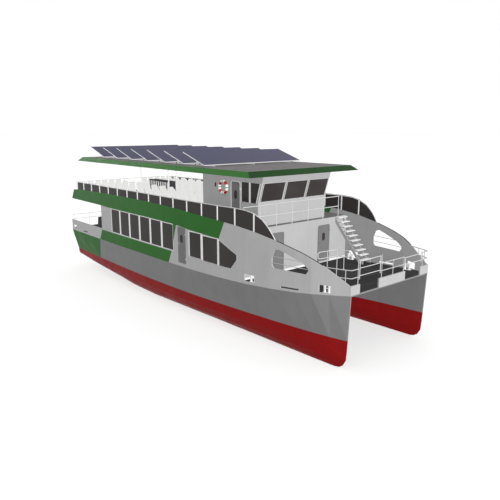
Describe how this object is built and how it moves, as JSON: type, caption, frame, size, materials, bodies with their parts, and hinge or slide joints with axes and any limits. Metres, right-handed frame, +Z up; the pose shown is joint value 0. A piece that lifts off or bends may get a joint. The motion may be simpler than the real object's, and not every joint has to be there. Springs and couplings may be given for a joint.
{
  "type": "passenger ferry",
  "caption": "Passenger ferry with two slim hulls, an enclosed main deck, open upper deck seats, a raised wheelhouse and tilted solar panels on its roof.",
  "frame": {"origin": "on the plane of the two flat keels, under the middle of the vessel's length and beam", "axes": "+X towards the bow, +Y to port, +Z up"},
  "size_m": [25, 7.9876, 8.73],
  "materials": {
    "hull_paint": "satin grey, red below the waterline",
    "wall_paint": "satin",
    "green_paint": "satin",
    "deck_coating": "matt, rough underfoot",
    "tinted_glass": "polished, dark",
    "rail_metal": "satin",
    "door_paint": "satin",
    "propeller_bronze": "machined",
    "rudder_metal": "red bottom paint",
    "seat_shell": "fine texture",
    "lifebuoy_shell": "fine texture",
    "locker_metal": "satin",
    "solar_face": "polished over dark cells"
  },
  "bodies": {
    "vessel": {"aft_bulwark_port": "wall_paint", "aft_bulwark_starboard": "wall_paint", "bow_bitts_port": "rail_metal", "bow_bitts_starboard": "rail_metal", "bow_rail_centre": "rail_metal", "bow_wing_port": "wall_paint", "bow_wing_starboard": "wall_paint", "bridge_deck": "hull_paint", "cabin_aft_wall": "wall_paint", "cabin_front_wall": "wall_paint", "cabin_side_port": "wall_paint", "cabin_side_starboard": "wall_paint", "cabin_windows_port": "tinted_glass", "cabin_windows_starboard": "tinted_glass", "deck_locker": "locker_metal", "foredeck_rail": "rail_metal", "front_rail": "rail_metal", "glass_guard_port": "tinted_glass", "glass_guard_starboard": "tinted_glass", "guard_rail_aft": "rail_metal", "guard_rail_port": "rail_metal", "guard_rail_starboard": "rail_metal", "hull_port": "hull_paint", "hull_starboard": "hull_paint", "lifebuoy_port": "lifebuoy_shell", "lifebuoy_starboard": "lifebuoy_shell", "main_deck": "deck_coating", "roof": "green_paint", "side_bitts_port": "rail_metal", "side_bitts_starboard": "rail_metal", "solar_row_1": "solar_face", "solar_row_2": "solar_face", "solar_row_3": "solar_face", "solar_row_4": "solar_face", "solar_row_5": "solar_face", "solar_row_6": "solar_face", "solar_row_7": "solar_face", "stairs": "wall_paint", "stern_rail": "rail_metal", "upper_band_port": "green_paint", "upper_band_starboard": "green_paint", "upper_deck": "deck_coating", "upper_seats_port": "seat_shell", "upper_seats_starboard": "seat_shell", "wheelhouse_walls": "wall_paint", "wheelhouse_windows": "tinted_glass"},
    "propeller_starboard": {"propeller_starboard": "propeller_bronze"},
    "rudder_starboard": {"rudder_starboard": "rudder_metal"},
    "side_door_starboard": {"side_door_starboard": "door_paint"},
    "bow_gate_starboard": {"bow_gate_starboard": "rail_metal"},
    "front_door_starboard": {"front_door_starboard": "door_paint"},
    "wheelhouse_door_starboard": {"wheelhouse_door_starboard": "door_paint"},
    "propeller_port": {"propeller_port": "propeller_bronze"},
    "rudder_port": {"rudder_port": "rudder_metal"},
    "side_door_port": {"side_door_port": "door_paint"},
    "bow_gate_port": {"bow_gate_port": "rail_metal"},
    "front_door_port": {"front_door_port": "door_paint"},
    "wheelhouse_door_port": {"wheelhouse_door_port": "door_paint"},
    "aft_door": {"aft_door": "door_paint"}
  },
  "joints": [
    {"name": "propeller_starboard_spin", "type": "hinge", "parent": "vessel", "child": "propeller_starboard", "pos_m": [-10.26, -2.8, 0.98], "axis": [1, 0, 0], "continuous": true},
    {"name": "propeller_port_spin", "type": "hinge", "parent": "vessel", "child": "propeller_port", "pos_m": [-10.26, 2.8, 0.98], "axis": [1, 0, 0], "continuous": true},
    {"name": "rudder_starboard_turn", "type": "hinge", "parent": "vessel", "child": "rudder_starboard", "pos_m": [-11.2, -2.8, 0.99], "axis": [0, 0, 1], "range_deg": [-35, 35]},
    {"name": "rudder_port_turn", "type": "hinge", "parent": "vessel", "child": "rudder_port", "pos_m": [-11.2, 2.8, 0.99], "axis": [0, 0, 1], "range_deg": [-35, 35]},
    {"name": "side_door_starboard_swing", "type": "hinge", "parent": "vessel", "child": "side_door_starboard", "pos_m": [2.42, -3.98179, 3.88], "axis": [0, 0, 1], "range_deg": [0, 105]},
    {"name": "side_door_port_swing", "type": "hinge", "parent": "vessel", "child": "side_door_port", "pos_m": [2.42, 3.98179, 3.88], "axis": [0, 0, -1], "range_deg": [0, 105]},
    {"name": "front_door_starboard_swing", "type": "hinge", "parent": "vessel", "child": "front_door_starboard", "pos_m": [6.77, -1.91, 3.935], "axis": [0, 0, -1], "range_deg": [0, 100]},
    {"name": "front_door_port_swing", "type": "hinge", "parent": "vessel", "child": "front_door_port", "pos_m": [6.77, 2.43, 3.935], "axis": [0, 0, 1], "range_deg": [0, 100]},
    {"name": "aft_door_swing", "type": "hinge", "parent": "vessel", "child": "aft_door", "pos_m": [-7.45, 0.44, 3.91], "axis": [0, 0, -1], "range_deg": [0, 100]},
    {"name": "wheelhouse_door_starboard_swing", "type": "hinge", "parent": "vessel", "child": "wheelhouse_door_starboard", "pos_m": [5.01, -2.43, 6.325], "axis": [0, 0, 1], "range_deg": [0, 100]},
    {"name": "wheelhouse_door_port_swing", "type": "hinge", "parent": "vessel", "child": "wheelhouse_door_port", "pos_m": [5.01, 2.43, 6.325], "axis": [0, 0, -1], "range_deg": [0, 100]},
    {"name": "bow_gate_starboard_swing", "type": "hinge", "parent": "vessel", "child": "bow_gate_starboard", "pos_m": [12.46, -2.26, 4.14], "axis": [0, 0, 1], "range_deg": [0, 100]},
    {"name": "bow_gate_port_swing", "type": "hinge", "parent": "vessel", "child": "bow_gate_port", "pos_m": [12.46, 2.26, 4.14], "axis": [0, 0, -1], "range_deg": [0, 100]}
  ],
  "couplings": [
    {"joint": "rudder_port_turn", "follows": "rudder_starboard_turn", "ratio": 1}
  ]
}
